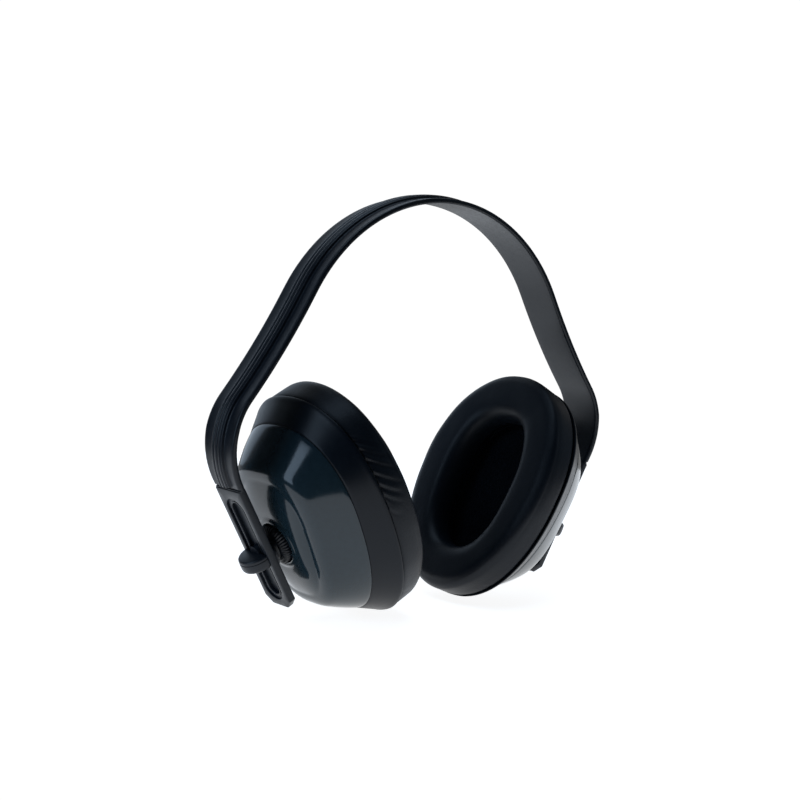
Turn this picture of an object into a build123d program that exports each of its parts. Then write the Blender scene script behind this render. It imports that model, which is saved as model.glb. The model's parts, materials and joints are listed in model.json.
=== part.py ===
from build123d import *
import os
from math import cos, pi, radians, sin

# Passive earmuff hearing protector: a sprung plastic headband whose slotted arms carry two ear cups.
# Millimetres, +Z up. X runs from ear to ear, Y from front to back.
# The origin is the middle of the crown's underside, where the band rests on the wearer's head.

# ---------------------------------------------------------------- driving dimensions
BAND_WIDTH = 21.0
ARM_WIDTH = 17.0
NARROWING_TOP = -94.0
NARROWING_END = -120.0
CROWN_THICKNESS = 2.3
ARM_THICKNESS = 2.9
RIDGE_WIDTH = 7.6
RIDGE_HEIGHT = 1.5

# Half of the band's outer line, from the crown's middle down to the arm's tip
CROWN_RADIUS = 79.6
CROWN_ANGLE = 59.8
SHOULDER_LENGTH = 4.3
FLARE_RADIUS = 323.0
FLARE_ANGLE = 8.0
FLARE_END_LENGTH = 3.0
BEND_RADIUS = 31.6
ARM_LEAN = 29.8
ARM_LENGTH = 59.6
CUP_LEAN = 27.1

FLEX_FROM_MIDDLE = 14.0
FLEX_GAP = 0.05
LINE_STEP = 4.0

PLATE_START = 2.3
PLATE_PROUD = 0.5
TIP_CHAMFER = 3.4
SLOT_START = 9.0
SLOT_END = 54.0
SLOT_WIDTH = 6.8
SLOT_RECESS_WIDTH = 11.6
SLOT_RECESS_DEPTH = 0.9

# Slider knob, washer and ball pivot, measured along the cup's axis from the arm's inner face
KNOB_STATION = 35.3
KNOB_GAP = 0.15
KNOB_WIDTH = 15.0
KNOB_HEIGHT = 7.8
KNOB_THICKNESS = 6.0
GUIDE_LENGTH = 11.0
GUIDE_CLEARANCE = 0.2
NECK_RADIUS = 2.7
BALL_DEPTH = 6.5
BALL_RADIUS = 5.0
SEAT_RADIUS = 6.5
BALL_FIT = 0.05
SEAT_MOUTH_RADIUS = 4.3
HUB_MOUTH_RADIUS = 4.9
WASHER_RADIUS = 8.0
WASHER_HOLE_RADIUS = 2.95
WASHER_THICKNESS = 0.8
HUB_TOP = 3.2
HUB_TOP_RADIUS = 6.6
HUB_SHOULDER = 5.5
HUB_RADIUS = 9.5
HUB_SPIGOT_RADIUS = 8.2
HUB_SPIGOT_END = 16.0
HUB_FIT = 0.08
RETAINER_RADIUS = 11.0
RETAINER_THICKNESS = 1.5
RETAINER_START = 13.2

# Ear cup outlines: half height along the arm, half width, roundness and depth from the arm
SHELL_BACK_DEPTH = 10.0
SHELL_RIM_DEPTH = 26.9
SHELL_BACK = (31.4, 21.9, 2.95)
SHELL_RIM = (44.4, 33.1, 2.3)
SHELL_WALL = 2.6
SHELL_TOP_WIDENING = 0.14
RING_TOP_WIDENING = 0.065
RING_END_DEPTH = 37.0
RING_END = (52.0, 40.0, 2.25)
RING_WALL = 2.2
PLATE_END_DEPTH = 37.9
PLATE_OUTLINE = (51.0, 39.0, 2.25)
CUSHION_BACK = (50.6, 38.4, 2.25)
CUSHION_MIDDLE = (52.6, 39.7, 2.15)
CUSHION_SHOULDER = (51.6, 38.7, 2.2)
CUSHION_FRONT = (47.0, 34.4, 2.25)
CUSHION_MIDDLE_DEPTH = 45.0
CUSHION_SHOULDER_DEPTH = 49.8
CUSHION_FRONT_DEPTH = 51.5
EAR_OPENING = (32.4, 20.3, 2.5)
EAR_LIP = (36.5, 24.4, 2.4)
SKIN_THICKNESS = 0.8
LINER_START_DEPTH = 17.6
LINER_END_DEPTH = 34.6
LINER_GAP = 1.0
OUTLINE_POINTS = 40


# ---------------------------------------------------------------- headband line
def band_segments():
    """Length and curvature of each tangent stretch of the band's outer flange line."""
    crown = radians(CROWN_ANGLE)
    flare = radians(FLARE_ANGLE)
    bend = radians(90.0 + ARM_LEAN) - crown + flare
    return [
        (CROWN_RADIUS * crown, 1.0 / CROWN_RADIUS),
        (SHOULDER_LENGTH, 0.0),
        (FLARE_RADIUS * flare, -1.0 / FLARE_RADIUS),
        (FLARE_END_LENGTH, 0.0),
        (BEND_RADIUS * bend, 1.0 / BEND_RADIUS),
        (ARM_LENGTH, 0.0),
    ]


def band_point(station):
    """Point (x, z) and downward heading of the outer flange line at a length from the crown's middle."""
    x = 0.0
    z = CROWN_THICKNESS
    heading = 0.0
    left = station
    for length, curvature in band_segments():
        run = min(left, length)
        if curvature:
            turned = heading + run * curvature
            x += (sin(turned) - sin(heading)) / curvature
            z += (cos(turned) - cos(heading)) / curvature
            heading = turned
        else:
            x += run * cos(heading)
            z -= run * sin(heading)
        left -= run
        if left <= 0.0:
            break
    return x, z, heading


BAND_LENGTH = sum(length for length, _ in band_segments())
ARM_START = BAND_LENGTH - ARM_LENGTH
TAPER_START = ARM_START - 28.0
TAPER_END = ARM_START - 2.0


def band_thickness(station):
    """The flange thickens smoothly from the crown to the bend above the arm."""
    share = min(1.0, max(0.0, (station - TAPER_START) / (TAPER_END - TAPER_START)))
    ease = share * share * (3.0 - 2.0 * share)
    return CROWN_THICKNESS + (ARM_THICKNESS - CROWN_THICKNESS) * ease


def offset_point(station, outward):
    """A point of the left half, a distance outside (+) or inside (-) the outer flange line."""
    x, z, heading = band_point(station)
    return -(x + sin(heading) * outward), z + cos(heading) * outward


def band_slab(start, end, inner, outer, width):
    """A stretch of the left half between two offset lines, extruded across the band's width."""
    count = max(3, round((end - start) / LINE_STEP))
    stations = [start + (end - start) * i / count for i in range(count + 1)]
    low = [offset_point(s, inner(s)) for s in stations]
    high = [offset_point(s, outer(s)) for s in stations]
    lower = Edge.make_spline([Vector(x, 0, z) for x, z in low])
    upper = Edge.make_spline([Vector(x, 0, z) for x, z in high])
    ends = [Edge.make_line(lower @ 0, upper @ 0), Edge.make_line(lower @ 1, upper @ 1)]
    face = Face(Wire([lower, upper, *ends]))
    return extrude(face, amount=width / 2, dir=(0, 1, 0), both=True)


def flange_and_ridge(start, end, ridge_end):
    """The band's flange, with its raised rib along the middle of the outer face."""
    flange = band_slab(start, end, lambda s: -band_thickness(s), lambda s: 0.0, BAND_WIDTH)
    ridge = band_slab(start, ridge_end, lambda s: -0.5, lambda s: RIDGE_HEIGHT, RIDGE_WIDTH)
    return flange + ridge


def narrowing():
    """Everything inside the band's edges, which draw in towards the arm."""
    wide = BAND_WIDTH / 2 + 0.01
    narrow = ARM_WIDTH / 2
    reach = 300.0
    edge = [(wide, reach), (wide, NARROWING_TOP), (narrow, NARROWING_END), (narrow, -reach)]
    points = edge + [(-y, z) for y, z in reversed(edge)]
    face = Plane.YZ * make_face(Polyline(*points, close=True))
    return extrude(face, amount=reach, both=True)


def make_crown():
    half = flange_and_ridge(0.0, FLEX_FROM_MIDDLE, FLEX_FROM_MIDDLE)
    return half + mirror(half, about=Plane.YZ)


# ---------------------------------------------------------------- arm frame and cup frame
LEAN = radians(ARM_LEAN)
ARM_TOP = offset_point(ARM_START, -ARM_THICKNESS)


def arm_plane(station):
    """Plane on the left arm's inner face: X up the arm, Z inward to the ear."""
    x = ARM_TOP[0] + sin(LEAN) * station
    z = ARM_TOP[1] - cos(LEAN) * station
    return Plane(origin=(x, 0, z), x_dir=(-sin(LEAN), 0, cos(LEAN)), z_dir=(cos(LEAN), 0, sin(LEAN)))


SLIDER_PLANE = arm_plane(KNOB_STATION)
BALL_CENTRE = SLIDER_PLANE.origin + SLIDER_PLANE.z_dir * BALL_DEPTH
CUP_TURN = radians(CUP_LEAN)
CUP_AXIS = Vector(cos(CUP_TURN), 0, sin(CUP_TURN))
CUP_UP = Vector(-sin(CUP_TURN), 0, cos(CUP_TURN))
CUP_PLANE = Plane(origin=BALL_CENTRE - CUP_AXIS * BALL_DEPTH, x_dir=CUP_UP, z_dir=CUP_AXIS)
PLATE_OUTER = -(ARM_THICKNESS + PLATE_PROUD)


def slot_prism(width, depth_from, depth_to):
    """A round-ended bar along the slot, in the cup frame."""
    middle = KNOB_STATION - (SLOT_START + SLOT_END) / 2
    length = SLOT_END - SLOT_START + width - SLOT_WIDTH
    sketch = Pos(middle, 0, depth_from) * SlotOverall(length, width)
    return extrude(sketch, amount=depth_to - depth_from)


def make_left_arm():
    band = flange_and_ridge(FLEX_FROM_MIDDLE + FLEX_GAP, BAND_LENGTH, ARM_START + PLATE_START)
    band = band & narrowing()
    plate_length = ARM_LENGTH - PLATE_START
    plate_middle = KNOB_STATION - PLATE_START - plate_length / 2
    plate_box = Box(plate_length, ARM_WIDTH, -PLATE_OUTER)
    plate = Pos(plate_middle, 0, PLATE_OUTER / 2) * plate_box
    tip = plate.faces().sort_by(Axis.X)[0].edges().filter_by(Axis.Z)
    plate = chamfer(tip, TIP_CHAMFER)
    corner_box = Box(2 * TIP_CHAMFER, 2 * BAND_WIDTH, 4 * ARM_THICKNESS)
    tip_zone = Pos(KNOB_STATION - ARM_LENGTH + TIP_CHAMFER, 0, 0) * corner_box
    arm = (band - SLIDER_PLANE.location * tip_zone) + SLIDER_PLANE.location * plate
    slot = slot_prism(SLOT_WIDTH, PLATE_OUTER - 1.0, 1.0)
    recess = slot_prism(SLOT_RECESS_WIDTH, PLATE_OUTER - 1.0, PLATE_OUTER + SLOT_RECESS_DEPTH)
    return arm - SLIDER_PLANE.location * (slot + recess)


# ---------------------------------------------------------------- slider and ball pivot (cup frame)
def disc(radius, depth_from, depth_to):
    return Pos(0, 0, (depth_from + depth_to) / 2) * Cylinder(radius, depth_to - depth_from)


def make_slider_knob():
    """Half-moon finger grip, guide block in the slot, neck and ball, moulded as one."""
    head_base = PLATE_OUTER - KNOB_GAP
    lower_half = Pos(0, -KNOB_HEIGHT) * Rectangle(KNOB_WIDTH, 2 * KNOB_HEIGHT)
    half_moon = Ellipse(KNOB_WIDTH / 2, KNOB_HEIGHT) & lower_half
    grip_plane = Plane(origin=(0, 0, head_base), x_dir=(0, 1, 0), z_dir=(1, 0, 0))
    grip = extrude(grip_plane * half_moon, KNOB_THICKNESS / 2, both=True)
    grip = fillet(grip.edges().filter_by(GeomType.ELLIPSE), 1.2)
    guide_sketch = Pos(0, 0, head_base) * SlotOverall(GUIDE_LENGTH, SLOT_WIDTH - 2 * GUIDE_CLEARANCE)
    guide = extrude(guide_sketch, amount=-head_base)
    neck = disc(NECK_RADIUS, -1.0, BALL_DEPTH)
    ball = Pos(0, 0, BALL_DEPTH) * Sphere(BALL_RADIUS)
    return grip + guide + neck + ball


def make_friction_washer():
    ring = disc(WASHER_RADIUS, KNOB_GAP, KNOB_GAP + WASHER_THICKNESS)
    return ring - disc(WASHER_HOLE_RADIUS, -1.0, 3.0)


def mouth(radius):
    """The open mouth towards the arm that a neck swings in."""
    return disc(radius, -1.0, BALL_DEPTH)


def make_ball_seat():
    """Flexible liner that grips the ball inside the hub."""
    seat = Pos(0, 0, BALL_DEPTH) * Sphere(SEAT_RADIUS)
    bore = Pos(0, 0, BALL_DEPTH) * Sphere(BALL_RADIUS + BALL_FIT)
    top = disc(SEAT_RADIUS + 1.0, BALL_DEPTH - SEAT_RADIUS - 1.0, HUB_TOP)
    return seat - bore - top - mouth(SEAT_MOUTH_RADIUS)


def make_pivot_hub():
    """Round black boss on the cup's back, hollowed to hold the ball seat."""
    head = disc(HUB_RADIUS, HUB_SHOULDER, SHELL_BACK_DEPTH - HUB_FIT)
    taper_height = HUB_SHOULDER - HUB_TOP
    taper = Pos(0, 0, HUB_TOP + taper_height / 2) * Cone(HUB_TOP_RADIUS, HUB_RADIUS, taper_height)
    spigot = disc(HUB_SPIGOT_RADIUS, HUB_SHOULDER, HUB_SPIGOT_END)
    socket = Pos(0, 0, BALL_DEPTH) * Sphere(SEAT_RADIUS + BALL_FIT)
    return head + taper + spigot - socket - mouth(HUB_MOUTH_RADIUS)


def make_hub_retainer():
    """Snap ring on the hub's spigot, inside the shell."""
    ring = disc(RETAINER_RADIUS, RETAINER_START, RETAINER_START + RETAINER_THICKNESS)
    return ring - disc(HUB_SPIGOT_RADIUS, RETAINER_START - 1.0, HUB_SPIGOT_END + 1.0)


# ---------------------------------------------------------------- ear cup (cup frame)
def power_of(value, exponent):
    """A signed power, which rounds an ellipse towards a rectangle."""
    size = abs(value) ** exponent
    return size if value >= 0 else -size


def outline(shape, depth, inset=0.0, widening=0.0):
    """Closed superellipse outline at a depth, a little wider above the pivot."""
    half_height, half_width, roundness = shape
    points = []
    for i in range(OUTLINE_POINTS):
        angle = 2 * pi * (i + 0.5) / OUTLINE_POINTS
        up = power_of(cos(angle), 2 / roundness)
        across = power_of(sin(angle), 2 / roundness)
        x = (half_height - inset) * up
        y = (half_width - inset) * across * (1.0 + widening * up)
        points.append(Vector(x, y, depth))
    return Wire([Edge.make_spline(points, periodic=True)])


def loft_outlines(outlines):
    return Solid.make_loft(outlines, False)


def shell_section(share):
    """Outline of the domed shell between its flat back (0) and its rim (1)."""
    ease = sin(share * pi / 2 * 0.8) / sin(pi / 2 * 0.8)
    shape = tuple(b + (r - b) * ease for b, r in zip(SHELL_BACK, SHELL_RIM))
    return shape, SHELL_TOP_WIDENING


SHELL_SHARES = (0.0, 0.25, 0.6, 1.0)


def shell_body(inset, back_depth):
    """The shell's outer or inner form, from a back depth to the rim."""
    outlines = []
    for share in SHELL_SHARES:
        shape, widening = shell_section(share)
        depth = back_depth + (SHELL_RIM_DEPTH - back_depth) * share
        outlines.append(outline(shape, depth, inset, widening))
    return loft_outlines(outlines)


def make_cup_shell():
    outer = shell_body(0.0, SHELL_BACK_DEPTH)
    inner = shell_body(SHELL_WALL, SHELL_BACK_DEPTH + SHELL_WALL)
    return outer - inner - disc(HUB_SPIGOT_RADIUS + HUB_FIT, 0.0, SHELL_RIM_DEPTH)


def make_rim_ring():
    """Conical ring from the shell's rim out to the cushion."""
    outer = loft_outlines([
        outline(SHELL_RIM, SHELL_RIM_DEPTH, 0.0, SHELL_TOP_WIDENING),
        outline(RING_END, RING_END_DEPTH, 0.0, RING_TOP_WIDENING),
    ])
    inner = loft_outlines([
        outline(SHELL_RIM, SHELL_RIM_DEPTH, RING_WALL, SHELL_TOP_WIDENING),
        outline(RING_END, RING_END_DEPTH, RING_WALL, RING_TOP_WIDENING),
    ])
    return outer - inner


def make_liner_foam():
    """Sound-absorbing foam block that fills the cup behind the ear."""
    inset = SHELL_WALL + LINER_GAP
    share = (LINER_START_DEPTH - SHELL_BACK_DEPTH) / (SHELL_RIM_DEPTH - SHELL_BACK_DEPTH)
    start_shape, start_widening = shell_section(share)
    return loft_outlines([
        outline(start_shape, LINER_START_DEPTH, inset + 1.0, start_widening),
        outline(SHELL_RIM, SHELL_RIM_DEPTH, inset, SHELL_TOP_WIDENING),
        outline(SHELL_RIM, LINER_END_DEPTH, inset, SHELL_TOP_WIDENING),
    ])


def make_cushion_plate():
    """Flat ring that the cushion is welded to and that snaps into the rim ring."""
    plate = loft_outlines([
        outline(PLATE_OUTLINE, depth, 0.0, RING_TOP_WIDENING)
        for depth in (RING_END_DEPTH, PLATE_END_DEPTH)
    ])
    hole = loft_outlines([outline(EAR_OPENING, RING_END_DEPTH), outline(EAR_OPENING, PLATE_END_DEPTH)])
    return plate - hole


def cushion_form(skin):
    """The cushion's ring, or the foam inside it when a skin thickness is taken off."""
    sections = (
        (CUSHION_BACK, PLATE_END_DEPTH),
        (CUSHION_MIDDLE, CUSHION_MIDDLE_DEPTH),
        (CUSHION_SHOULDER, CUSHION_SHOULDER_DEPTH),
        (CUSHION_FRONT, CUSHION_FRONT_DEPTH - skin),
    )
    ring = loft_outlines([
        outline(shape, depth, skin, RING_TOP_WIDENING) for shape, depth in sections
    ])
    opening = loft_outlines([
        outline(EAR_OPENING, PLATE_END_DEPTH, -skin),
        outline(EAR_OPENING, CUSHION_MIDDLE_DEPTH, -skin),
        outline(EAR_LIP, CUSHION_FRONT_DEPTH - skin, -skin),
    ])
    return ring - opening


def make_cushion_foam():
    return cushion_form(SKIN_THICKNESS)


def make_cushion_skin():
    return cushion_form(0.0) - cushion_form(SKIN_THICKNESS)


# ---------------------------------------------------------------- assembly
SLIDER_PIECES = {
    "slider_knob": make_slider_knob,
    "friction_washer": make_friction_washer,
}
CUP_PIECES = {
    "ball_seat": make_ball_seat,
    "pivot_hub": make_pivot_hub,
    "hub_retainer": make_hub_retainer,
    "cup_shell": make_cup_shell,
    "rim_ring": make_rim_ring,
    "liner_foam": make_liner_foam,
    "cushion_plate": make_cushion_plate,
    "cushion_foam": make_cushion_foam,
    "cushion_skin": make_cushion_skin,
}


def write(name, shape):
    shape.label = name
    export_step(shape, os.path.join("parts", name + ".step"))


def write_pair(name, left):
    """A left piece and its mirror image on the right."""
    write("left_" + name, left)
    write("right_" + name, mirror(left, about=Plane.YZ))


os.makedirs("parts", exist_ok=True)
write("headband_crown", make_crown())
write_pair("headband_arm", make_left_arm())
for piece_name, make_piece in SLIDER_PIECES.items():
    write_pair(piece_name, SLIDER_PLANE.location * make_piece())
for piece_name, make_piece in CUP_PIECES.items():
    write_pair(piece_name, CUP_PLANE.location * make_piece())

PIVOT_X, PIVOT_Z = offset_point(FLEX_FROM_MIDDLE, RIDGE_HEIGHT)
FRONT = CUP_PLANE.origin + CUP_PLANE.z_dir * CUSHION_FRONT_DEPTH
print("spread pivot", PIVOT_X, PIVOT_Z)
print("left ball centre", BALL_CENTRE.X, BALL_CENTRE.Z)
print("left cushion front centre", FRONT.X, FRONT.Z)
print("band length over its outer face", 2 * BAND_LENGTH)
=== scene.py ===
import json
import math

import bmesh
import bpy
import numpy as np
from mathutils import Matrix, Vector, noise


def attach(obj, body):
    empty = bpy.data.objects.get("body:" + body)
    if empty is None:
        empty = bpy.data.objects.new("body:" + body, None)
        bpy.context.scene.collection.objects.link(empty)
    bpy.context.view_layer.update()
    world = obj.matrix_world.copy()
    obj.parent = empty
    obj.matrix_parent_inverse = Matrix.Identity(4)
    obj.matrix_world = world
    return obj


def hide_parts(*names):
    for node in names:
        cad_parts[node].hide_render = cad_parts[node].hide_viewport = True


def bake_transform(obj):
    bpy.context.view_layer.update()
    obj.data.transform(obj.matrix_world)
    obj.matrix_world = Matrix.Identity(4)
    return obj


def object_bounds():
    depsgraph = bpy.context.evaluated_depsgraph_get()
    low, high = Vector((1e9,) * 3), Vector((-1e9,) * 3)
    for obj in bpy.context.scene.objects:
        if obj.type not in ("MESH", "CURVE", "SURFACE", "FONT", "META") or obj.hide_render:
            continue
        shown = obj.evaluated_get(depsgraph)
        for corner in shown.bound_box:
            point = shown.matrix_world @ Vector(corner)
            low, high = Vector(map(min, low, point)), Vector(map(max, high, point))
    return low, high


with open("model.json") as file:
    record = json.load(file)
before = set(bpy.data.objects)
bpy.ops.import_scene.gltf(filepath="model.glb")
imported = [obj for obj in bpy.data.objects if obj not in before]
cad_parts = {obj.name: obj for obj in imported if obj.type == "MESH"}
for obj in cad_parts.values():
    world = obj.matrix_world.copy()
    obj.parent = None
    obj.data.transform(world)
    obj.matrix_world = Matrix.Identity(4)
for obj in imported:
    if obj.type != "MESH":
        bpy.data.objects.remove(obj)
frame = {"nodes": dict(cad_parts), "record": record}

# Earmuff hearing protector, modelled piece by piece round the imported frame.
# Lengths are written in millimetres and turned into metres when a mesh is made.
MM = 0.001
CAD_LOW, CAD_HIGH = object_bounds()
JOINTS = {joint["name"]: joint for joint in frame["record"]["behaviour"]["joints"]}
RING_POINTS = 240
OUTLINE_SAMPLES = 2881

# ---------------------------------------------------------------- frames of the arm and the cup
BALL = np.array(JOINTS["left_tilt"]["pos_m"]) / MM
DOWN_ARM = np.array(JOINTS["left_height"]["axis"])
CUP_IN = np.array(JOINTS["left_turn"]["axis"])
CUP_UP = np.array((-CUP_IN[2], 0.0, CUP_IN[0]))
ARM_IN = np.array((-DOWN_ARM[2], 0.0, DOWN_ARM[0]))
ACROSS = np.array((0.0, 1.0, 0.0))
BALL_DEPTH = 6.5
CUP_ORIGIN = BALL - BALL_DEPTH * CUP_IN
ARM_ORIGIN = BALL - BALL_DEPTH * ARM_IN


def in_cup(x, y, depth):
    return CUP_ORIGIN + x * CUP_UP + y * ACROSS + depth * CUP_IN


def in_arm(x, y, depth):
    return ARM_ORIGIN - x * DOWN_ARM + y * ACROSS + depth * ARM_IN


# ---------------------------------------------------------------- mesh helpers
def make_piece(name, points, faces, side=-1, smooth=True):
    """A mesh object from points in millimetres on the left; side 1 gives its mirror image on the right."""
    points = np.array(points, float) * MM
    if side > 0:
        points[:, 0] *= -1.0
    mesh = bpy.data.meshes.new(name)
    mesh.from_pydata([tuple(p) for p in points], [], [tuple(f) for f in faces])
    work = bmesh.new()
    work.from_mesh(mesh)
    bmesh.ops.recalc_face_normals(work, faces=work.faces)
    work.to_mesh(mesh)
    work.free()
    for polygon in mesh.polygons:
        polygon.use_smooth = smooth
    piece = bpy.data.objects.new(name, mesh)
    bpy.context.scene.collection.objects.link(piece)
    return piece


def soften(piece, angle=32.0):
    """Smooth shading that keeps edges sharper than an angle."""
    mesh = piece.data
    work = bmesh.new()
    work.from_mesh(mesh)
    for edge in work.edges:
        edge.smooth = len(edge.link_faces) == 2 and edge.calc_face_angle(0.0) < math.radians(angle)
    work.to_mesh(mesh)
    work.free()
    return piece


def loft(rings, wrap):
    """Points and faces through rings of equal length.

    wrap joins the last ring to the first; without it both end rings are capped.
    """
    size = len(rings[0])
    points = [p for ring in rings for p in ring]
    faces = []
    for i in range(len(rings) if wrap else len(rings) - 1):
        low = i * size
        high = ((i + 1) % len(rings)) * size
        for k in range(size):
            after = (k + 1) % size
            faces.append((low + k, low + after, high + after, high + k))
    if not wrap:
        faces.append(tuple(reversed(range(size))))
        faces.append(tuple(range(len(points) - size, len(points))))
    return points, faces


def join_parts(parts):
    """Several closed (points, faces) forms as one."""
    points, faces = [], []
    for part_points, part_faces in parts:
        start = len(points)
        points.extend(part_points)
        faces.extend(tuple(start + i for i in face) for face in part_faces)
    return points, faces


def outline(shape, inset=0.0, widening=0.0, count=RING_POINTS):
    """Superellipse outline with even spacing, starting at the top: half height, half width, roundness."""
    half_height, half_width, roundness = shape
    angle = np.linspace(0.0, 2.0 * math.pi, OUTLINE_SAMPLES)
    cosine, sine = np.cos(angle), np.sin(angle)
    up = np.sign(cosine) * np.abs(cosine) ** (2.0 / roundness)
    across = np.sign(sine) * np.abs(sine) ** (2.0 / roundness)
    x = (half_height - inset) * up
    y = (half_width - inset) * across * (1.0 + widening * up)
    length = np.concatenate([[0.0], np.cumsum(np.hypot(np.diff(x), np.diff(y)))])
    wanted = np.arange(count) / count * length[-1]
    return np.stack([np.interp(wanted, length, x), np.interp(wanted, length, y)], 1)


def circle(radius, count=RING_POINTS):
    return outline((radius, radius, 2.0), count=count)


def cup_ring(flat, depth):
    return [in_cup(x, y, depth) for x, y in flat]


def spin(profile, count, ribs=None):
    """Closed profile of (radius, depth) turned about the cup's axis.

    ribs(radius, depth, angle) may change the radius.
    """
    rings = []
    for radius, depth in profile:
        ring = []
        for k in range(count):
            angle = 2.0 * math.pi * k / count
            r = ribs(radius, depth, angle) if ribs else radius
            ring.append(in_cup(r * math.cos(angle), r * math.sin(angle), depth))
        rings.append(ring)
    return rings


# ---------------------------------------------------------------- materials
def node_material(name, color, roughness, specular=0.5, coat=0.0, coat_roughness=0.1):
    material = bpy.data.materials.new(name)
    material.use_nodes = True
    nodes = material.node_tree.nodes
    shader = nodes["Principled BSDF"]
    shader.inputs["Roughness"].default_value = roughness
    shader.inputs["Specular IOR Level"].default_value = specular
    shader.inputs["Coat Weight"].default_value = coat
    shader.inputs["Coat Roughness"].default_value = coat_roughness
    shader.inputs["Base Color"].default_value = (*color, 1.0)
    return material, material.node_tree, shader


def add_node(tree, kind, **values):
    node = tree.nodes.new(kind)
    for key, value in values.items():
        if key.startswith("in_"):
            node.inputs[key[3:].replace("_", " ")].default_value = value
        else:
            setattr(node, key, value)
    return node


def noise_of(tree, coordinates, scale, detail=4.0, roughness=0.55):
    node = add_node(tree, "ShaderNodeTexNoise", in_Scale=scale, in_Detail=detail, in_Roughness=roughness)
    tree.links.new(coordinates, node.inputs["Vector"])
    return node.outputs["Fac"]


def spread_value(tree, source, low, high, from_low=0.3, from_high=0.7):
    node = add_node(tree, "ShaderNodeMapRange")
    node.inputs["From Min"].default_value = from_low
    node.inputs["From Max"].default_value = from_high
    node.inputs["To Min"].default_value = low
    node.inputs["To Max"].default_value = high
    tree.links.new(source, node.inputs["Value"])
    return node.outputs["Result"]


def mix_colors(tree, factor, first, second):
    node = add_node(tree, "ShaderNodeMix", data_type="RGBA")
    node.inputs["A"].default_value = (*first, 1.0)
    node.inputs["B"].default_value = (*second, 1.0)
    tree.links.new(factor, node.inputs["Factor"])
    return node.outputs["Result"]


def bump_chain(tree, shader, layers):
    """Bump from (height source, strength, distance in metres) layers, one on top of the other."""
    previous = None
    for source, strength, distance in layers:
        bump = add_node(tree, "ShaderNodeBump")
        bump.inputs["Strength"].default_value = strength
        bump.inputs["Distance"].default_value = distance
        tree.links.new(source, bump.inputs["Height"])
        if previous is not None:
            tree.links.new(previous, bump.inputs["Normal"])
        previous = bump.outputs["Normal"]
    tree.links.new(previous, shader.inputs["Normal"])


def object_coordinates(tree):
    return add_node(tree, "ShaderNodeTexCoord").outputs["Object"]


def moulded_plastic(name, color, roughness, grain, grain_depth, specular=0.5, coat=0.0, coat_roughness=0.1,
                    dust=0.25, wave=None):
    """Moulded plastic: uneven gloss, faint dust, fine surface grain and a slow waviness from the mould."""
    material, tree, shader = node_material(name, color, roughness, specular, coat, coat_roughness)
    where = object_coordinates(tree)
    broad = noise_of(tree, where, 38.0, 3.0)
    fine = noise_of(tree, where, 420.0, 5.0, 0.65)
    speck = noise_of(tree, where, 2600.0, 2.0, 0.5)
    lighter = tuple(c * 1.25 + 0.0006 for c in color)
    darker = tuple(c * 0.82 for c in color)
    tone = add_node(tree, "ShaderNodeMath", operation="MULTIPLY_ADD")
    tree.links.new(broad, tone.inputs[0])
    tone.inputs[1].default_value = 0.7
    tree.links.new(spread_value(tree, fine, 0.0, 0.35), tone.inputs[2])
    body = mix_colors(tree, tone.outputs[0], darker, lighter)
    dusty = add_node(tree, "ShaderNodeMix", data_type="RGBA")
    tree.links.new(body, dusty.inputs["A"])
    dusty.inputs["B"].default_value = (*tuple(min(1.0, c + 0.016) for c in color), 1.0)
    tree.links.new(spread_value(tree, speck, 0.0, dust, 0.60, 0.78), dusty.inputs["Factor"])
    tree.links.new(dusty.outputs["Result"], shader.inputs["Base Color"])
    rough = add_node(tree, "ShaderNodeMath", operation="ADD")
    tree.links.new(spread_value(tree, broad, roughness - 0.035, roughness + 0.035), rough.inputs[0])
    tree.links.new(spread_value(tree, fine, -0.02, 0.05), rough.inputs[1])
    tree.links.new(rough.outputs[0], shader.inputs["Roughness"])
    layers = [(noise_of(tree, where, grain, 3.0, 0.6), 0.35, grain_depth)]
    if wave:
        layers.insert(0, (noise_of(tree, where, wave[0], 1.0), 0.5, wave[1]))
    bump_chain(tree, shader, layers)
    return material


def vinyl():
    """Soft satin vinyl film with a fine pebbled grain."""
    material, tree, shader = node_material("soft_vinyl", (0.0022, 0.0046, 0.0088), 0.42, 0.22)
    where = object_coordinates(tree)
    broad = noise_of(tree, where, 24.0, 3.0)
    pebble = add_node(tree, "ShaderNodeTexVoronoi", feature="SMOOTH_F1", in_Scale=1150.0, in_Smoothness=0.6)
    tree.links.new(where, pebble.inputs["Vector"])
    fine = noise_of(tree, where, 2300.0, 3.0)
    tree.links.new(mix_colors(tree, broad, (0.0014, 0.0034, 0.0070), (0.0028, 0.0058, 0.0105)),
                   shader.inputs["Base Color"])
    rough = add_node(tree, "ShaderNodeMath", operation="MULTIPLY_ADD")
    tree.links.new(fine, rough.inputs[0])
    rough.inputs[1].default_value = 0.14
    tree.links.new(spread_value(tree, broad, 0.33, 0.42), rough.inputs[2])
    tree.links.new(rough.outputs[0], shader.inputs["Roughness"])
    bump_chain(tree, shader, [
        (noise_of(tree, where, 95.0, 2.0), 0.35, 0.00035),
        (pebble.outputs["Distance"], 0.30, 0.00010),
        (fine, 0.20, 0.00005),
    ])
    return material


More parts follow.
